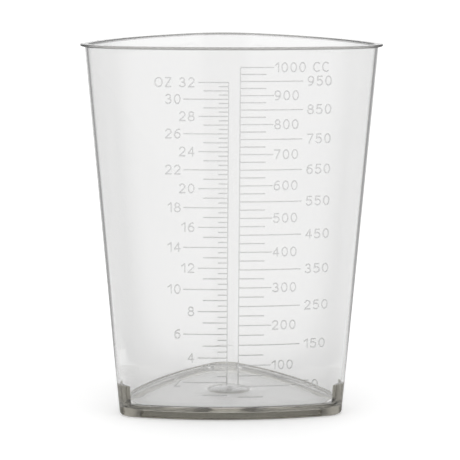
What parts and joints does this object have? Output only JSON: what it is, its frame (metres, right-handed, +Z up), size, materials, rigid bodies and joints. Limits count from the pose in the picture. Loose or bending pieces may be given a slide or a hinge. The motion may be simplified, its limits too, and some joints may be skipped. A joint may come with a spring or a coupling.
{
  "type": "graduated container",
  "caption": "Clear three-cornered pouring container with bowed tapering sides, an out-turned rim and raised volume scales on the front.",
  "frame": {"origin": "on the body's upright axis, at the level of the foot", "axes": "+Z up to the open rim, -Y out of the graduated side, +Y towards the corner opposite it"},
  "size_m": [0.1228, 0.1183, 0.1535],
  "materials": {
    "clear_plastic": "clear, faintly smoky, polished injection moulding"
  },
  "bodies": {
    "root": {"container": "clear_plastic"}
  },
  "joints": []
}
